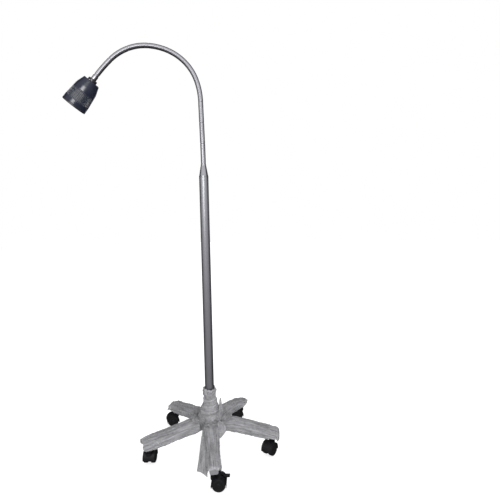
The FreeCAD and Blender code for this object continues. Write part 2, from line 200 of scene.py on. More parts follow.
def start(name, **socket_values):
    """A new material: its graph, its Principled shader and the object coordinates."""
    mat = bpy.data.materials.new(name)
    mat.use_nodes = True
    g = Graph(mat.node_tree)
    shader = mat.node_tree.nodes["Principled BSDF"]
    for key, value in socket_values.items():
        shader.inputs[key.replace("_", " ")].default_value = value
    return mat, g, shader, g.add("ShaderNodeTexCoord").outputs["Object"]


def wire(g, shader, **sockets):
    """Links values into the shader's sockets, an underscore standing for a space in a socket's name."""
    for key, value in sockets.items():
        g.tree.links.new(value, shader.inputs[key.replace("_", " ")])


def handled(g, where, grain, smudge):
    values = {"Vector": where, "Grain scale": grain, "Smudge scale": smudge}
    return g.add("ShaderNodeGroup", values, node_tree=HANDLED).outputs


def rubbed(g, where, reach=0.06):
    return g.add("ShaderNodeGroup", {"Vector": where, "Reach": reach}, node_tree=EDGES).outputs["Edge"]


def ringed(g, where, along=2600.0):
    return g.add("ShaderNodeGroup", {"Vector": where, "Along": along}, node_tree=RINGS).outputs


def rgb(r, g, b):
    return (r, g, b, 1.0)


# ---- materials ------------------------------------------------------------------------


def chrome_neck():
    mat, g, shader, where = start("chrome_neck", Metallic=1.0)
    mark = handled(g, where, 1200.0, 30.0)
    tone = g.mix(mark["Smudge"], rgb(0.80, 0.80, 0.83), rgb(0.68, 0.68, 0.71))
    wire(g, shader, Base_Color=g.mix(g.math("MULTIPLY", mark["Dust"], 0.2), tone, rgb(0.4, 0.4, 0.4)))
    wire(g, shader, Roughness=g.span(mark["Smudge"], 0.3, 0.75, 0.15, 0.24))
    wire(g, shader, Normal=g.bump(mark["Scratch"], 0.1, 0.00003))
    return mat


def satin_steel():
    mat, g, shader, where = start("satin_steel", Metallic=1.0, Anisotropic=0.35)
    mark = handled(g, where, 1500.0, 9.0)
    ring = ringed(g, where)
    tone = g.mix(ring["Bands"], rgb(0.70, 0.70, 0.735), rgb(0.60, 0.60, 0.635))
    wire(g, shader, Base_Color=g.mix(g.math("MULTIPLY", mark["Scratch"], 0.3), tone, rgb(0.82, 0.82, 0.84)))
    rough = g.span(ring["Rings"], 0.25, 0.75, 0.3, 0.38)
    wire(g, shader, Roughness=g.math("ADD", rough, g.span(mark["Smudge"], 0.45, 0.75, 0.0, 0.08)))
    wire(g, shader, Normal=g.bump(ring["Rings"], 0.25, 0.00005))
    return mat


def turned_steel():
    mat, g, shader, where = start("turned_steel", Metallic=1.0)
    mark = handled(g, where, 1500.0, 40.0)
    ring = ringed(g, where, 1800.0)
    wire(g, shader, Base_Color=g.mix(mark["Smudge"], rgb(0.74, 0.74, 0.77), rgb(0.6, 0.6, 0.62)))
    wire(g, shader, Roughness=g.span(ring["Rings"], 0.25, 0.75, 0.12, 0.24))
    wire(g, shader, Normal=g.bump(ring["Rings"], 0.3, 0.00008))
    return mat


def dark_housing():
    mat, g, shader, where = start("dark_housing", Coat_Weight=0.35, Coat_Roughness=0.2, IOR=1.45)
    mark = handled(g, where, 700.0, 26.0)
    tone = g.mix(mark["Smudge"], rgb(0.008, 0.010, 0.020), rgb(0.012, 0.015, 0.028))
    tone = g.mix(g.math("MULTIPLY", rubbed(g, where, 0.08), 0.2), tone, rgb(0.05, 0.055, 0.08))
    wire(g, shader, Base_Color=g.mix(g.math("MULTIPLY", mark["Dust"], 0.15), tone, rgb(0.2, 0.2, 0.2)))
    wire(g, shader, Roughness=g.span(mark["Smudge"], 0.3, 0.75, 0.2, 0.34))
    peel = g.bump(g.noise(where, 300.0, 2.0), 0.06, 0.0002)
    wire(g, shader, Normal=g.bump(mark["Grain"], 0.04, 0.00005, peel))
    return mat


def moulded(name, colour, rough, grain_depth=0.0002):
    """Moulded plastic or rubber: spark-eroded grain, a little wear on its corners, dust."""
    mat, g, shader, where = start(name)
    mark = handled(g, where, 1400.0, 34.0)
    lighter = rgb(*(c * 1.9 + 0.006 for c in colour))
    tone = g.mix(g.math("MULTIPLY", rubbed(g, where), 0.6), rgb(*colour), lighter)
    tone = g.mix(g.math("MULTIPLY", mark["Smudge"], 0.35), tone, lighter)
    wire(g, shader, Base_Color=g.mix(g.math("MULTIPLY", mark["Dust"], 0.15), tone, rgb(0.1, 0.1, 0.1)))
    wire(g, shader, Roughness=g.span(mark["Smudge"], 0.3, 0.75, rough - 0.06, rough + 0.1))
    wire(g, shader, Normal=g.bump(mark["Grain"], 0.35, grain_depth))
    return mat


def clear_lens():
    mat, g, shader, where = start("clear_lens", Transmission_Weight=1.0, IOR=1.49)
    mark = handled(g, where, 900.0, 30.0)
    wire(g, shader, Base_Color=g.mix(mark["Smudge"], rgb(0.97, 0.985, 1.0), rgb(0.9, 0.93, 0.95)))
    wire(g, shader, Roughness=g.span(mark["Smudge"], 0.4, 0.8, 0.02, 0.12))
    wire(g, shader, Normal=g.bump(g.noise(where, 260.0, 2.0), 0.15, 0.0002))
    return mat


def mirror_bowl():
    mat, g, shader, where = start("mirror_bowl", Metallic=1.0)
    mark = handled(g, where, 1100.0, 30.0)
    wire(g, shader, Base_Color=g.mix(mark["Smudge"], rgb(0.9, 0.9, 0.92), rgb(0.8, 0.8, 0.83)))
    wire(g, shader, Roughness=g.span(mark["Smudge"], 0.3, 0.7, 0.05, 0.12))
    wire(g, shader, Normal=g.bump(mark["Grain"], 0.1, 0.0001))
    return mat


def circuit_board():
    mat, g, shader, where = start("circuit_board")
    cells = g.add("ShaderNodeTexVoronoi", {"Vector": where, "Scale": 420.0}, distance="CHEBYCHEV")
    track = g.span(cells.outputs["Distance"], 0.32, 0.36, 0.0, 1.0)
    wire(g, shader, Base_Color=g.mix(track, rgb(0.03, 0.2, 0.09), rgb(0.05, 0.3, 0.14)))
    wire(g, shader, Roughness=g.span(g.noise(where, 300.0), 0.3, 0.7, 0.3, 0.5))
    wire(g, shader, Normal=g.bump(track, 0.4, 0.0001))
    return mat


def metal(name, light, dark, low, high, scale, depth):
    """Plain cast or plated metal: mottled tone, uneven roughness, fine pits."""
    mat, g, shader, where = start(name, Metallic=1.0)
    mark = handled(g, where, scale, 28.0)
    tone = g.mix(mark["Smudge"], rgb(*light), rgb(*dark))
    wire(g, shader, Base_Color=g.mix(g.math("MULTIPLY", rubbed(g, where), 0.4), tone, rgb(0.85, 0.85, 0.85)))
    wire(g, shader, Roughness=g.span(mark["Grain"], 0.3, 0.7, low, high))
    wire(g, shader, Normal=g.bump(mark["Grain"], 0.3, depth))
    return mat


def grey_base():
    mat, g, shader, where = start("grey_base", IOR=1.5)
    mark = handled(g, where, 1300.0, 16.0)
    tone = g.mix(mark["Smudge"], rgb(0.24, 0.24, 0.255), rgb(0.19, 0.19, 0.2))
    tone = g.mix(g.math("MULTIPLY", rubbed(g, where), 0.4), tone, rgb(0.4, 0.4, 0.42))
    wire(g, shader, Base_Color=g.mix(g.math("MULTIPLY", mark["Dust"], 0.3), tone, rgb(0.4, 0.4, 0.39)))
    wire(g, shader, Roughness=g.span(mark["Smudge"], 0.3, 0.7, 0.38, 0.52))
    wire(g, shader, Normal=g.bump(mark["Grain"], 0.5, 0.00025))
    return mat


def packing_film():
    """Thin milky film: long pulled creases, small crumples, and hazy patches where it lies close; its colour
    is darkened with painted shade over the small crumples and lightened with thin painted highlight lines
    across the sheet.
    """
    mat, g, shader, where = start("packing_film", IOR=1.5, Coat_Weight=0.6, Coat_Roughness=0.14)
    cut = g.add("ShaderNodeAttribute", attribute_name="cut").outputs["Vector"]
    pull = g.noise(g.stretch(cut, (9.0, 210.0, 1.0)), 1.0, 4.0, 0.6, 0.5)
    crease = g.noise(g.stretch(cut, (26.0, 420.0, 1.0)), 1.0, 3.0, 0.55, 0.9)
    crumple = g.noise(where, 70.0, 6.0, 0.62, 0.7)
    haze = g.noise(where, 24.0, 4.0, 0.6, 0.4)
    cross = g.noise(g.stretch(cut, (170.0, 8.0, 1.0)), 1.0, 2.0)
    fine = g.math("ABSOLUTE", g.math("SUBTRACT", g.noise(where, 190.0, 4.0, 0.6, 0.4), 0.5))
    tone = g.mix(g.span(pull, 0.36, 0.64, 0.0, 1.0), rgb(0.25, 0.25, 0.262), rgb(0.50, 0.50, 0.525))
    # Painted shade: the film is darkened over its small crumples, standing in for the dark spots of lit
    # crinkled film.
    tone = g.mix(g.span(crumple, 0.58, 0.8, 0.0, 0.4), tone, rgb(0.13, 0.13, 0.14))
    # Painted highlight: thin lighter lines across the sleeve stand in for light caught by the film's creases.
    tone = g.mix(g.span(cross, 0.68, 0.74, 0.0, 0.3), tone, rgb(0.5, 0.5, 0.52))
    wire(g, shader, Base_Color=tone)
    wire(g, shader, Roughness=g.span(crumple, 0.3, 0.75, 0.2, 0.42))
    wire(g, shader, Alpha=g.span(haze, 0.35, 0.7, 0.66, 0.86))
    height = g.math("ADD", g.math("MULTIPLY", pull, 0.6), g.math("MULTIPLY", crease, 0.5))
    height = g.math("ADD", height, g.math("MULTIPLY", crumple, 1.1))
    height = g.math("ADD", height, g.math("MULTIPLY", fine, -0.9))
    wire(g, shader, Normal=g.bump(height, 0.9, 0.006))
    return mat


MATERIALS = {
    "chrome_neck": chrome_neck(),
    "satin_steel": satin_steel(),
    "turned_steel": turned_steel(),
    "dark_housing": dark_housing(),
    "black_plastic": moulded("black_plastic", (0.012, 0.012, 0.014), 0.3),
    "clear_lens": clear_lens(),
    "seal_rubber": moulded("seal_rubber", (0.02, 0.02, 0.02), 0.65),
    "mirror_bowl": mirror_bowl(),
    "circuit_board": circuit_board(),
    "bare_aluminium": metal(
        "bare_aluminium", (0.75, 0.76, 0.78), (0.62, 0.63, 0.65), 0.3, 0.5, 800.0, 0.0002
    ),
    "zinc_steel": metal("zinc_steel", (0.66, 0.67, 0.66), (0.52, 0.53, 0.5), 0.25, 0.42, 1200.0, 0.0001),
    "grey_base": grey_base(),
    "castor_black": moulded("castor_black", (0.004, 0.004, 0.005), 0.4),
    "wheel_black": moulded("wheel_black", (0.005, 0.005, 0.006), 0.5, 0.0003),
    "packing_film": packing_film(),
}
SLOTS = {s["node"]: s["material_slot"] for s in frame["record"]["subparts"]}


def paint_frame():
    """Every carried-over node takes the finish of its record slot."""
    for name, node in NODES.items():
        if not node.material_slots:
            node.data.materials.append(None)
        for place in node.material_slots:
            place.link = "OBJECT"
            place.material = MATERIALS[SLOTS[name]]


# ---- shapes ---------------------------------------------------------------------------


def made(name, bm, slot, body=None, stands_for=(), sharp=38, merge=1e-6):
    """Turns a bmesh into a named piece with its finish, the body it rides on and the nodes it replaces."""
    if merge:
        bmesh.ops.remove_doubles(bm, verts=bm.verts, dist=merge)
    bmesh.ops.recalc_face_normals(bm, faces=bm.faces)
    mesh = bpy.data.meshes.new(name)
    bm.to_mesh(mesh)
    bm.free()
    mesh.materials.append(MATERIALS[slot])
    mesh.polygons.foreach_set("use_smooth", [True] * len(mesh.polygons))
    mesh.set_sharp_from_angle(angle=math.radians(sharp))
    obj = bpy.data.objects.new(name, mesh)
    scene.collection.objects.link(obj)
    if body:
        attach(obj, body)
    if stands_for:
        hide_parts(*stands_for)
    return obj


def rounded(outline, sizes, steps=4, closed=True):
    """The outline with its corners rounded, with one size for each corner."""
    count, out = len(outline), []
    for i, (corner, size) in enumerate(zip(outline, sizes)):
        here = Vector(corner)
        if size <= 0 or (not closed and i in (0, count - 1)):
            out.append(here)
            continue
        back, on = Vector(outline[i - 1]) - here, Vector(outline[(i + 1) % count]) - here
        reach = min(size, 0.45 * back.length, 0.45 * on.length)
        a, b = here + back.normalized() * reach, here + on.normalized() * reach
        for k in range(steps + 1):
            t = k / steps
            out.append(a * (1 - t) ** 2 + here * 2 * t * (1 - t) + b * t * t)
    return out


def lathe(bm, outline, segments=96, place=None, closed=True):
    """Spins an outline of (radius, height) in mm about the upright axis, then puts it in place."""
    verts = [bm.verts.new((max(p[0], 0.0) * MM, 0, p[1] * MM)) for p in outline]
    pairs = list(zip(verts, verts[1:])) + ([(verts[-1], verts[0])] if closed else [])
    edges = [bm.edges.new(pair) for pair in pairs]
    earlier = set(bm.verts) - set(verts)
    bmesh.ops.spin(
        bm,
        geom=verts + edges,
        cent=(0, 0, 0),
        axis=(0, 0, 1),
        angle=math.tau,
        steps=segments,
        use_merge=True,
    )
    if place is not None:
        spun = [v for v in bm.verts if v not in earlier]
        bmesh.ops.transform(bm, matrix=place, verts=spun)


# ---- gooseneck ------------------------------------------------------------------------

BENDS = [Vector(JOINTS["neck_bend_%02d" % k]["pos_m"]) for k in range(11)]

# A link is an arc, so its two ends lean equally to either side of its chord.
LEANS = [0.0]
for low, high in zip(BENDS, BENDS[1:]):
    LEANS.append(2 * math.atan2(low.x - high.x, high.z - low.z) - LEANS[-1])

# The neck's sizes in mm.
LINK = 82.8
NECK_R = 10.0
WIRE_BORE_R = 5.0
BALL_R = 9.45
SOCKET_R = 9.75
TURNS_PER_LINK = 20
PITCH = LINK / TURNS_PER_LINK
GROOVE_BETWEEN_TURNS = 0.3
POINTS_PER_TURN = 8
NECK_SEGMENTS = 48
FOOT_REACH = 30


def link_line(k, rise):
    """Point and lean at a height in mm along link k: an arc between its joints, straight past them."""
    lean, turn = LEANS[k - 1], LEANS[k] - LEANS[k - 1]
    if rise <= 0 or rise >= LINK or abs(turn) < 1e-7:
        base, past = (BENDS[k], rise - LINK) if rise >= LINK else (BENDS[k - 1], rise)
        lean += turn if rise >= LINK else 0.0
        return base + Vector((-math.sin(lean), 0, math.cos(lean))) * past * MM, lean
    radius, end = LINK * MM / turn, lean + turn * rise / LINK
    step = Vector((math.cos(end) - math.cos(lean), 0, math.sin(end) - math.sin(lean)))
    return BENDS[k - 1] + step * radius, end


def arc_points(radius, middle, first, last, steps):
    """Points of a circle round (0, middle), from one angle to another in degrees."""
    angles = [math.radians(first + (last - first) * i / steps) for i in range(steps + 1)]
    return [(radius * math.cos(a), middle + radius * math.sin(a)) for a in angles]


def ball_points(middle):
    """A joint's ball, from its waist one turn below its middle up to the wire's bore."""
    low = -math.degrees(math.asin(PITCH / BALL_R))
    high = math.degrees(math.acos(WIRE_BORE_R / BALL_R))
    return arc_points(BALL_R, middle, low, high, 16)


def link_outline():
    """One link: ringed outside, a ball at its top, the wire's bore, and a socket at its foot."""
    outline = []
    for i in range((TURNS_PER_LINK - 1) * POINTS_PER_TURN + 1):
        wave = math.sin(math.pi * ((i / POINTS_PER_TURN + 0.5) % 1.0))
        depth = GROOVE_BETWEEN_TURNS * max(0.0, 1 - wave / 0.5)
        outline.append((NECK_R - depth, i / POINTS_PER_TURN * PITCH))
    outline += ball_points(LINK)
    outline += arc_points(SOCKET_R, 0, math.degrees(math.acos(WIRE_BORE_R / SOCKET_R)), 1.5, 10)
    return outline


def build_neck():
    """Ten links with ball joints, and the foot that carries the first ball."""
    for k in range(1, 11):
        bm = bmesh.new()
        lathe(bm, link_outline(), NECK_SEGMENTS)
        for v in bm.verts:
            point, lean = link_line(k, v.co.z / MM)
            v.co = point + Vector((math.cos(lean), 0, math.sin(lean))) * v.co.x + Vector((0, v.co.y, 0))
        made("gooseneck_%02d" % k, bm, "chrome_neck", "neck_%02d" % k, ["neck_link_%02d" % k], sharp=75)
    bm = bmesh.new()
    ball = ball_points(0)
    stub = [(WIRE_BORE_R, -FOOT_REACH), (ball[0][0], -FOOT_REACH)]
    lathe(bm, stub + ball, NECK_SEGMENTS, Matrix.Translation(BENDS[0]))
    made("gooseneck_foot", bm, "chrome_neck", "neck_foot", sharp=60)


CONE_FOOT_DROP = 54.6
CONE_MOUTH_DROP = 2.5
SPIGOT_LENGTH = 26


def build_cone():
    """The turned cone under the neck's first joint, with a spigot below it."""
    low, mouth = BENDS[0].z / MM - CONE_FOOT_DROP, BENDS[0].z / MM - CONE_MOUTH_DROP
    corners = [(10.1, low + 6), (8, low), (19, low), (19, low + 5.2), (18, low + 7)]
    corners += [(11.6, mouth - 8), (10.9, mouth - 5), (10.9, mouth), (10.1, mouth)]
    bm = bmesh.new()
    lathe(bm, rounded(corners, [0, 0, 0.5, 0.5, 0.6, 3, 0.5, 0.4, 0.1]), 96)
    lathe(bm, [(5, low - SPIGOT_LENGTH), (8, low - SPIGOT_LENGTH), (8, low), (5, low)], 48)
    made("cone_turned", bm, "turned_steel", "neck_foot", ["neck_cone"])


# ---- head -----------------------------------------------------------------------------

HEAD_AXIS = Vector(JOINTS["button_press"]["axis"]).normalized()
RIM_BEYOND_LAST_BEND = 0.153
RIM_CENTRE = BENDS[10] + HEAD_AXIS * RIM_BEYOND_LAST_BEND
HEAD = Matrix.Translation(RIM_CENTRE) @ Matrix.Rotation(math.pi - LEANS[10], 4, "Y")

# The housing: its radius and heights are in mm from the front rim, its rib shares parts of a rib.
HOUSING_R = 48.7
TAPER_FROM = 24
TAPER = 0.1
RIBS = 46
STEPS_PER_RIB = 10
RIBS_FROM = 24.5
RIBS_TO = 69.5
RIB_FADE = 2.6
GROOVE_DEPTH = 2.6
GROOVE_SHARE = 0.36
GROOVE_WALL = 0.2
CROWN_FALL = 2.1

BUTTON_OFFSET = 23.8
SCREW_CIRCLE_R = 24
SCREW_ANGLES = (30, 150, 270)

# What the head's own light falls on.
HEAD_PIECES = ("ribbed_housing", "bezel_ring", "neck_collar", "button_cap", "cover_screws")


def smooth_step(x):
    x = min(max(x, 0.0), 1.0)
    return x * x * (3 - 2 * x)


def shell_outline():
    """The housing's outside, front edge to back plate, as (radius, height, groove share)."""
    points = [(45.0, 7.0, 0), (48.2, 7.0, 0), (48.55, 7.15, 0), (HOUSING_R, 7.5, 0)]
    points += [(HOUSING_R, z, 0) for z in (10, 14, 18, 22, 23.6)]
    for i in range(25):
        z = TAPER_FROM + i * 2.0
        share = smooth_step((z - RIBS_FROM) / RIB_FADE) * smooth_step((RIBS_TO - z) / RIB_FADE)
        points.append((HOUSING_R - (z - TAPER_FROM) * TAPER, z, share))
    points += [(HOUSING_R - (z - TAPER_FROM) * TAPER, z, 0) for z in (76, 80)]
    for i in range(9):
        t = i / 8
        radius = 42.8 * (1 - t) ** 2 + 42.3 * 2 * t * (1 - t) + 40.8 * t * t
        points.append((radius, 83 + t * 10, 0))
    points += [(42.3 - (z - 88) * 0.3, z, 0) for z in (97, 103, 109, 115, 119)]
    points += [(32.66, 120, 0), (32.3, 120.9, 0), (31.7, 121.6, 0), (30.8, 122, 0)]
    points += [(27, 122, 0), (18, 122, 0), (7.2, 122, 0), (7.2, 119.5, 0)]
    return points


def build_housing():
    """The ribbed outside is a grid wrapped round the axis; the inside is spun."""
    points = shell_outline()
    bm = bmesh.new()
    bmesh.ops.create_grid(bm, x_segments=RIBS * STEPS_PER_RIB, y_segments=len(points) - 1, size=1)
    xs = sorted({round(v.co.x, 5) for v in bm.verts})
    ys = sorted({round(v.co.y, 5) for v in bm.verts})
    at_x, at_y = {x: i for i, x in enumerate(xs)}, {y: i for i, y in enumerate(ys)}
    for v in bm.verts:
        i, j = at_x[round(v.co.x, 5)], at_y[round(v.co.y, 5)]
        radius, height, share = points[j]
        turn = i / (len(xs) - 1)
        crest = abs((turn * RIBS) % 1.0 - 0.5) * 2
        groove = GROOVE_DEPTH * (1 - smooth_step((crest - GROOVE_SHARE) / GROOVE_WALL))
        crown = CROWN_FALL * (1 - crest) ** 2
        radius -= share * max(groove, crown)
        a = turn * math.tau
        v.co = (radius * math.cos(a) * MM, radius * math.sin(a) * MM, height * MM)
    bmesh.ops.remove_doubles(bm, verts=bm.verts, dist=2e-6)
    inner = [(7.2, 119.5), (30, 119.5), (39.6, 88), (41, 74), (41, 46), (43, 30), (43, 7), (45, 7)]
    inner = rounded(inner, [0, 2, 6, 3, 3, 3, 0.3, 0], 4, closed=False)
    lathe(bm, inner, 96, closed=False)
    bmesh.ops.transform(bm, matrix=HEAD, verts=bm.verts)
    made("ribbed_housing", bm, "dark_housing", "head", ["head_housing"], sharp=50, merge=2e-6)


def head_lathe(name, outline, slot, nodes, segments=96, centre=(0.0, 0.0), body="head"):
    """A spun piece of the head, round the head's axis or beside it."""
    bm = bmesh.new()
    place = HEAD @ Matrix.Translation((centre[0] * MM, centre[1] * MM, 0))
    lathe(bm, outline, segments, place)
    made(name, bm, slot, body, nodes)


def build_head_trim():
    bezel = [(41, 0), (47.5, 0), (49, 1.5), (49, 6.9), (42.9, 6.9), (42.9, 12)]
    bezel += [(41.6, 12), (41.6, 6.7), (42.9, 6.5), (42.9, 2.5), (41, 2.5)]
    bezel = rounded(bezel, [0.4, 0.8, 0.8, 0.4, 0, 0.2, 0.2, 0, 0, 0, 0.3])
    head_lathe("bezel_ring", bezel, "black_plastic", ["front_bezel"])

    lens = [(0, 1.2), (12, 1.3), (24, 1.62), (34, 2.1), (42.2, 2.55), (42.8, 2.7)]
    lens += [(42.8, 5.3), (42.2, 5.4), (0, 5.4)]
    head_lathe("cover_lens", lens, "clear_lens", ["front_lens"])

    collar = [(7, 122), (18, 122), (18, 130.6), (15.6, 133), (7, 133)]
    collar = rounded(collar, [0, 0.3, 1.6, 1.2, 0])
    head_lathe("neck_collar", collar, "black_plastic", ["rear_collar"])

    ferrule = [(5, 106), (7, 106), (7, 133), (10.9, 133), (10.9, 150.5)]
    ferrule += [(9.9, 150.5), (9.9, 148.5), (7.8, 146), (5, 142.5)]
    ferrule = rounded(ferrule, [0, 0.2, 0, 0.3, 0.5, 0.2, 0.3, 0.3, 0])
    head_lathe("ferrule_sleeve", ferrule, "chrome_neck", ["neck_ferrule"], 64)

    cap = [(0, 111), (3, 111), (3, 117), (5, 117), (5, 124.8), (4.2, 125.8), (0, 126.1)]
    cap = rounded(cap, [0, 0.2, 0, 0.2, 0.8, 0.8, 0])
    head_lathe("button_cap", cap, "black_plastic", ["push_button"], 48, (0, BUTTON_OFFSET), "button")

    screw = [(0, 108), (1.5, 108), (1.5, 122), (2.8, 122), (2.8, 123.2), (2.2, 123.9)]
    screw += [(1.3, 124), (1.2, 122.9), (0, 122.9)]
    screw = rounded(screw, [0, 0.2, 0, 0, 0.3, 0.4, 0.1, 0, 0], 3)
    bm = bmesh.new()
    for angle in SCREW_ANGLES:
        a = math.radians(angle)
        x, y = SCREW_CIRCLE_R * math.cos(a) * MM, SCREW_CIRCLE_R * math.sin(a) * MM
        lathe(bm, screw, 24, HEAD @ Matrix.Translation((x, y, 0)))
    made("cover_screws", bm, "zinc_steel", "head", ["head_screws"])


# ---- packing film ---------------------------------------------------------------------

# Distance from the column's axis, and a leg's half width, underside and top there, in mm.
LEG_SECTIONS = (
    (20, 25, 96, 137),
    (110, 23, 88, 130),
    (190, 20.5, 76, 116),
    (250, 18.5, 68, 101),
    (285, 16, 66, 91),
)
LEG_END = LEG_SECTIONS[-1][0]
LEG_NAMES = ("front", "right_front", "right_back", "left_back", "left_front")
LEG_ANGLES = {name: round(-81.86 + 72 * k, 2) for k, name in enumerate(LEG_NAMES)}
FILM_THICKNESS = 0.25


def leg_size(distance):
    """Half width, underside and top of a leg at a distance from the column's axis."""
    for a, b in zip(LEG_SECTIONS, LEG_SECTIONS[1:]):
        if distance <= b[0]:
            break
    t = min((distance - a[0]) / (b[0] - a[0]), 1.0)
    return [p + (q - p) * t for p, q in zip(a[1:], b[1:])]


def lumps(x, y, z, seed=0.0):
    """Soft noise, about -1 to 1."""
    return noise.noise(Vector((x, y, z + seed)))


def ridge(x, y, z, seed=0.0):
    """Sharp-crested noise, about -1 to 1 with its creases at 1, the way film creases."""
    return 1 - abs(noise.noise(Vector((x, y, z + seed)))) * 2


def thicken(bm, thickness):
    """Gives an open sheet its thickness: a second skin inside it, and a rim between the two."""
    bm.normal_update()
    inside = {v: bm.verts.new(v.co - v.normal * thickness) for v in bm.verts[:]}
    cut = bm.verts.layers.float_vector.get("cut")
    for v, twin in inside.items():
        twin[cut] = v[cut]
    rim = [e for e in bm.edges if e.is_boundary]
    for face in bm.faces[:]:
        bm.faces.new([inside[v] for v in reversed(face.verts)])
    for edge in rim:
        a, b = edge.verts
        bm.faces.new((a, b, inside[b], inside[a]))


def film_sheet(name, columns, rows, shape, cut_size):
    """A sheet from a grid: shape(u, w) gives mm for u and w from 0 to 1; cut_size is flat, in m."""
    bm = bmesh.new()
    bmesh.ops.create_grid(bm, x_segments=columns, y_segments=rows, size=1)
    cut = bm.verts.layers.float_vector.new("cut")
    for v in bm.verts:
        u, w = (v.co.x + 1) / 2, (v.co.y + 1) / 2
        v[cut] = Vector((u * cut_size[1], w * cut_size[0], 0))
        v.co = Vector(shape(u, w)) * MM
    bmesh.ops.remove_doubles(bm, verts=bm.verts, dist=2e-5)
    bmesh.ops.dissolve_degenerate(bm, dist=1e-6, edges=bm.edges)
    bmesh.ops.recalc_face_normals(bm, faces=bm.faces)
    thicken(bm, FILM_THICKNESS * MM)
    return made(name, bm, "packing_film", "stand", sharp=60, merge=0)


def sleeve_shape(angle, looseness, ends, seed, crown, flare, hang):
    """One leg's sleeve, wound round once with an overlap and hanging over the leg's end.

    looseness is its slack at the sides, below and above. ends is how far its top, sides and underside
    reach. crown and flare open it towards its end. hang is where it starts to fall, the radius of that
    bend, and its steepest slope in degrees. Lengths are in mm.
    """
    side, below, above = looseness
    bend_at, bend_r, bend_most = hang[0], hang[1], math.radians(hang[2])
    a = math.radians(angle)
    out, across = Vector((math.cos(a), math.sin(a), 0)), Vector((-math.sin(a), math.cos(a), 0))

    def shape(u, w):
        theta = -math.pi / 2 - 0.35 + w * (math.tau + 0.7)
        c, s = math.cos(theta), math.sin(theta)
        top, under = max(s, 0) ** 2, max(-s, 0) ** 2
        end = ends[0] * top + ends[1] * c * c + ends[2] * under
        end += 4 * lumps(c * 1.9, s * 1.9, 0, seed) + 2 * lumps(c * 6, s * 6, 0, seed + 2)
        along = 58 + (end - 58) * u
        half, low, high = leg_size(min(along, LEG_END))
        near_end = smooth_step((along - 190) / 90)
        lift = above * (0.6 + 0.4 * lumps(along * 0.02, 0, 0, seed + 3)) + 2.0 + crown * near_end
        wide = half + side * (0.8 + 0.4 * lumps(along * 0.017, 5, 0, seed)) + 1.6 + flare * near_end
        mid, tall = (low - below + high + lift) / 2, (high + lift - low + below) / 2
        power = 2 / (3.1 - 0.9 * near_end)
        y = wide * math.copysign(abs(c) ** power, c)
        z = tall * math.copysign(abs(s) ** power, s)
        loose = 1.0 + 2.0 * (w - 0.5) ** 2
        long_fold = ridge(along * 0.009, c * 2.6, s * 2.6, seed) ** 3
        fine_fold = ridge(along * 0.028, c * 7.0, s * 7.0, seed + 9) ** 3
        crumple = lumps(along * 0.085, y * 0.09, z * 0.09, seed + 5)
        crumple += 0.5 * lumps(along * 0.2, y * 0.2, z * 0.2, seed)
        folds = 3.6 * long_fold + 1.7 * fine_fold + 1.5 * crumple
        bulge = folds * (0.65 + 0.35 * near_end) * loose + 0.9 * w
        length = math.hypot(y, z)
        y += y / length * bulge
        z += z / length * bulge
        extra = max(along - bend_at, 0)
        turned = min(extra / bend_r, bend_most)
        rest = extra - turned * bend_r
        distance = min(along, bend_at) + bend_r * math.sin(turned) + rest * math.cos(bend_most)
        fall = bend_r * (1 - math.cos(turned)) + rest * math.sin(bend_most)
        return out * distance + across * y + Vector((0, 0, mid + z - fall))

    return shape


SLEEVES = {
    "front": dict(
        looseness=(5.5, 2.0, 5.0), ends=(300, 290, 246), seed=1.3, crown=3, flare=2, hang=(284, 9, 75)
    ),
    "right_front": dict(
        looseness=(4.5, 3.0, 3.5), ends=(336, 306, 246), seed=7.1, crown=5, flare=7, hang=(284, 11, 84)
    ),
    "right_back": dict(
        looseness=(4.0, 3.0, 1.5), ends=(326, 290, 246), seed=13.7, crown=0, flare=3, hang=(266, 62, 48)
    ),
    "left_back": dict(
        looseness=(4.0, 3.0, 7.0), ends=(322, 300, 246), seed=19.2, crown=9, flare=4, hang=(272, 32, 62)
    ),
    "left_front": dict(
        looseness=(4.5, 3.0, 8.0), ends=(292, 293, 246), seed=26.4, crown=12, flare=5, hang=(280, 40, 25)
    ),
}


def build_sleeves():
    made_sleeves = []
    flat = (0.19, 0.26)
    for key, facts in SLEEVES.items():
        shape = sleeve_shape(LEG_ANGLES[key], **facts)
        sleeve = film_sheet("film_sleeve_" + key, 150, 130, shape, flat)
        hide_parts("leg_wrap_" + key)
        made_sleeves.append(sleeve)
    return made_sleeves


def height_samples(objects):
    """Top heights of these pieces on a square raster round the column, in mm."""
    reach, step, lowest, look_from = 100, 3, 60.0, 0.165
    trees = []
    for obj in objects:
        mesh = obj.data
        trees.append(BVHTree.FromPolygons([v.co for v in mesh.vertices], [p.vertices for p in mesh.polygons]))
    found = []
    for x in range(-reach, reach + 1, step):
        for y in range(-reach, reach + 1, step):
            best = lowest
            for tree in trees:
                hit = tree.ray_cast(Vector((x * MM, y * MM, look_from)), Vector((0, 0, -1)))[0]
                if hit is not None:
                    best = max(best, hit.z / MM)
            found.append((x, y, best))
    return np.array(found)


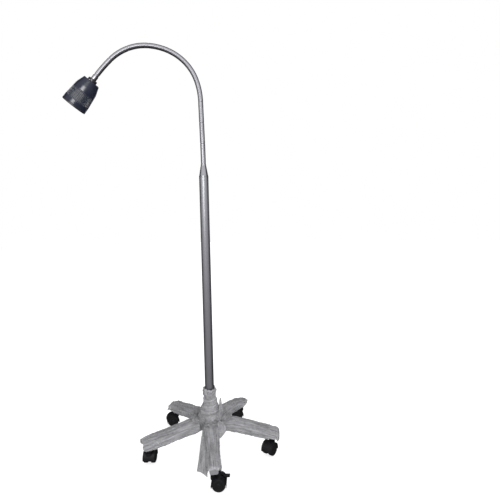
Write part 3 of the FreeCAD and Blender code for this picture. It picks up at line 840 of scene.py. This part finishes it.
def build_hub_film(sleeves):
    """The film round the column's foot, spreading over the legs and down between them."""
    tops = height_samples([NODES["star_base"]] + sleeves)
    angles = [math.radians(a) for a in LEG_ANGLES.values()]

    # Radius and height of the part round the column, from its top down, and the skirt's share of w.
    upper = [(24, 265), (26.5, 250), (25, 232), (27.5, 215), (28, 202), (33, 188), (38, 173), (43, 160)]
    share = 0.5

    def top_at(x, y):
        gaps = np.hypot(tops[:, 0] - x, tops[:, 1] - y)
        return float(np.max(tops[:, 2] - 2.3 * np.maximum(gaps - 2.5, 0)))

    def shape(u, w):
        a = u * math.tau
        c, s = math.cos(a), math.sin(a)
        if w > share:
            t = (1 - (w - share) / (1 - share)) * (len(upper) - 1)
            i = min(int(t), len(upper) - 2)
            f = t - i
            r = upper[i][0] * (1 - f) + upper[i + 1][0] * f
            z = upper[i][1] * (1 - f) + upper[i + 1][1] * f
            folds = 4.2 * ridge(c * 1.5, s * 1.5, z * 0.03, 2.0) ** 2 - 1.6
            r += folds + 2.4 * ridge(c * 3.6, s * 3.6, z * 0.07, 8.0) ** 3
            r += 1.2 * lumps(c * 6, s * 6, z * 0.14)
            r = max(r, 20.2)
            z += 7 * lumps(c * 2.4, s * 2.4, 0, 4.0) * smooth_step((z - 225) / 40)
            return (r * c, r * s, z)
        t = 1 - w / share
        gap = min(abs((a - b + math.pi) % math.tau - math.pi) for b in angles)
        on_leg = 1 - smooth_step((gap - math.radians(15)) / math.radians(15))
        edge = 60 + 30 * on_leg + 7 * lumps(c * 2.2, s * 2.2, 0, 6.0)
        r = 43 + (edge - 43) * t ** 0.85
        x, y = r * c, r * s
        rest_z = top_at(x, y) + 1.2
        inner_z = 160 - 20 * smooth_step((r - 43) / 14)
        z = rest_z
        if r < 56:
            z = max(rest_z, inner_z - 60 * smooth_step((r - 48) / 16) * (1 - on_leg))
        z = max(z, 92)
        z += 3.4 * ridge(x * 0.05, y * 0.05, 0, 3.0) ** 2 + 2.0 * ridge(x * 0.13, y * 0.13, 0, 5.0) ** 3
        push = 1 + 0.035 * lumps(x * 0.06, y * 0.06, z * 0.05, 9.0)
        return (x * push, y * push, z)

    flat = (0.20, 0.24)
    hub = film_sheet("film_hub", 260, 90, shape, flat)
    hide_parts("hub_wrap")


def build_flaps():
    """The loose pieces: a flap along the front leg, a lobe beside it and a twisted tail at the hub."""
    a = math.radians(LEG_ANGLES["front"])
    out, across = Vector((math.cos(a), math.sin(a), 0)), Vector((-math.sin(a), math.cos(a), 0))

    def flap(u, w):
        distance = 50 + (236 - 56 * w) * u
        high = leg_size(min(distance, LEG_END))[2]
        y = -(24 + (10 + 28 * u) * w)
        drop = w ** 0.9
        z = (high - 9 - 24 * u ** 4) * (1 - drop) + (118 - 70 * u) * drop
        wave = 3.2 * math.sin(distance * 0.045 + w * 2.5) * w
        z += wave + 2.4 * ridge(distance * 0.02, y * 0.05, 0, 11.0) ** 2
        z += 1.2 * lumps(distance * 0.1, y * 0.12, 0, 4.0)
        return out * distance + across * y + Vector((0, 0, z))

    flat = (0.05, 0.236)
    piece = film_sheet("film_flap", 120, 40, flap, flat)

    def lobe(u, w):
        z = 150 - 80 * u
        reach = 36 * math.sin(math.pi * min(max(u, 0.02), 0.98)) ** 0.6
        distance = 78 - 12 * w * w + 3 * ridge(z * 0.04, w * 2, 0, 17.0) ** 2
        height = z + 2 * lumps(w * 3, u * 3, 0, 2.0)
        return out * distance + across * (26 + reach * w) + Vector((0, 0, height))

    flat = (0.036, 0.08)
    piece = film_sheet("film_lobe", 60, 30, lobe, flat)

    def tail(u, w):
        z = 158 + 64 * w
        twist = 3.5 * w
        r = (13.0 - 10.5 * w ** 1.1) * (0.78 + 0.3 * math.cos(3 * (u * math.tau + twist)))
        b = u * math.tau * 1.02 + twist
        return (43 + 3 * w + r * math.cos(b), -8 - 2 * w + r * math.sin(b), z)

    flat = (0.05, 0.066)
    piece = film_sheet("film_tail", 60, 60, tail, flat)


# ---- camera, light and floor ----------------------------------------------------------


LENS = 27.72
DOWNWARD_DEGREES = 4.957
ROLL_DEGREES = -1.002
CAMERA_X = 0.1843
CAMERA_Y = -1.5984
CAMERA_BELOW_NECK_FOOT = 0.2184


def build_camera():
    data = bpy.data.cameras.new("camera")
    data.sensor_width, data.sensor_fit, data.lens = 36.0, "HORIZONTAL", LENS
    data.clip_end = 60.0
    pitch, roll = math.radians(DOWNWARD_DEGREES), math.radians(ROLL_DEGREES)
    forward = Vector((0, math.cos(pitch), -math.sin(pitch)))
    right = Vector((1, 0, 0))
    up = right.cross(forward)
    side = right * math.cos(roll) + up * math.sin(roll)
    top = up * math.cos(roll) - right * math.sin(roll)
    camera = bpy.data.objects.new("camera", data)
    turn = Matrix((side, top, -forward)).transposed().to_4x4()
    place = (CAMERA_X, CAMERA_Y, BENDS[0].z - CAMERA_BELOW_NECK_FOOT)
    camera.matrix_world = Matrix.Translation(place) @ turn
    scene.collection.objects.link(camera)
    scene.camera = camera


def build_world():
    """A white surround; reflections see it graded, dark below and to the sides."""
    world = bpy.data.worlds.new("studio")
    world.use_nodes = True
    scene.world = world
    g = Graph(world.node_tree)
    direction = g.add("ShaderNodeTexCoord").outputs["Generated"]
    parts = g.add("ShaderNodeSeparateXYZ", {0: direction}).outputs
    ramp = g.add("ShaderNodeValToRGB", {"Fac": g.span(parts["Z"], -1, 1, 0, 1)})

    # Place on the way from straight down to straight up, and brightness there.
    stops = ((0.0, 0.06), (0.27, 0.13), (0.36, 0.17), (0.44, 0.24), (0.5, 0.34), (0.6, 0.5), (1.0, 0.5))
    for element, (place, tone) in zip(list(ramp.color_ramp.elements), (stops[0], stops[-1])):
        element.position = place
        element.color = (tone,) * 3 + (1,)
    for place, tone in stops[1:-1]:
        ramp.color_ramp.elements.new(place).color = (tone,) * 3 + (1,)
    away = g.math("ARCCOSINE", g.math("MULTIPLY", parts["Y"], -1.0))
    front = g.span(away, 0.9, 1.8, 1.0, 0.0, True)
    back = g.span(away, 2.8, 3.05, 0.0, 0.5, True)
    level = g.math("ADD", g.math("MULTIPLY", g.math("MAXIMUM", front, back), 0.93), 0.07)
    seen = g.math("MULTIPLY", g.math("MULTIPLY", ramp.outputs["Color"], level), 1.25)
    soft = g.span(parts["Z"], -0.5, 0.9, 0.7, 1.0)
    cool = {i: g.math("MULTIPLY", seen, share) for i, share in enumerate((0.985, 0.985, 1.03))}
    tint = g.add("ShaderNodeCombineColor", cool).outputs[0]
    path = g.add("ShaderNodeLightPath").outputs
    grey = g.add("ShaderNodeCombineColor", {0: soft, 1: soft, 2: soft}).outputs[0]
    colour = g.mix(path["Is Glossy Ray"], grey, tint)
    colour = g.mix(path["Is Camera Ray"], colour, rgb(1.0, 1.0, 1.0))
    background = world.node_tree.nodes["Background"]
    world.node_tree.links.new(colour, background.inputs["Color"])
    background.inputs["Strength"].default_value = 1.0


def softbox(name, place, target, size, power, upright=(0, 0, 1)):
    """A flat studio light; its second side runs as near as it can along the given upright direction."""
    data = bpy.data.lights.new(name, "AREA")
    data.shape, data.size, data.size_y, data.energy = "RECTANGLE", size[0], size[1], power
    lamp = bpy.data.objects.new(name, data)
    back = (Vector(place) - Vector(target)).normalized()
    side = Vector(upright).cross(back).normalized()
    turn = Matrix((side, back.cross(side), back)).transposed().to_4x4()
    lamp.matrix_world = Matrix.Translation(place) @ turn
    scene.collection.objects.link(lamp)
    return lamp


def shine_only_on(lamp, pieces):
    """Keeps a small studio light off everything but these pieces."""
    group = bpy.data.collections.new(lamp.name + "_reach")
    for piece in pieces:
        group.objects.link(piece)
    lamp.light_linking.receiver_collection = group


def build_floor():
    """A pale round floor that reflections see through."""
    mat = bpy.data.materials.new("pale_floor")
    mat.use_nodes = True
    g = Graph(mat.node_tree)
    mat.node_tree.nodes.remove(mat.node_tree.nodes["Principled BSDF"])
    where = g.add("ShaderNodeTexCoord").outputs["Object"]
    tone = g.mix(g.noise(where, 3.0), rgb(0.5, 0.5, 0.5), rgb(0.53, 0.53, 0.53))
    matt = g.add("ShaderNodeBsdfDiffuse", {"Color": tone}).outputs[0]
    glow = g.add("ShaderNodeEmission", {"Strength": 0.78}).outputs[0]
    lit = g.add("ShaderNodeAddShader", {0: matt, 1: glow}).outputs[0]
    clear = g.add("ShaderNodeBsdfTransparent").outputs[0]
    path = g.add("ShaderNodeLightPath").outputs
    both = g.add("ShaderNodeMixShader", {0: path["Is Glossy Ray"], 1: lit, 2: clear}).outputs[0]
    mat.node_tree.links.new(both, mat.node_tree.nodes["Material Output"].inputs["Surface"])
    bm = bmesh.new()
    bmesh.ops.create_circle(bm, cap_ends=True, segments=96, radius=14)
    mesh = bpy.data.meshes.new("floor")
    bm.to_mesh(mesh)
    bm.free()
    mesh.materials.append(mat)
    floor = bpy.data.objects.new("floor", mesh)
    scene.collection.objects.link(floor)


paint_frame()
build_neck()
build_cone()
build_housing()
build_head_trim()
build_hub_film(build_sleeves())
build_flaps()
build_camera()
build_world()
build_floor()

# The head's own light has one side along the head's axis.
head_light = softbox("head_light", (-0.28, -1.9, 1.78), (-0.48, 0, 1.48), (1.0, 1.2), 34, (0.65, 0, 0.76))
shine_only_on(head_light, [o for o in scene.objects if o.name in HEAD_PIECES])
softbox("front_panel", (-0.3, -2.0, 1.4), (-0.3, 0, 1.38), (1.1, 0.6), 4.5)
film_light = softbox("film_light", (0.85, -1.5, 0.75), (-0.1, -0.1, 0.08), (0.35, 0.9), 14)
shine_only_on(film_light, [o for o in scene.objects if o.name.startswith("film_") and o.type == "MESH"])
scene.view_settings.view_transform = "Standard"
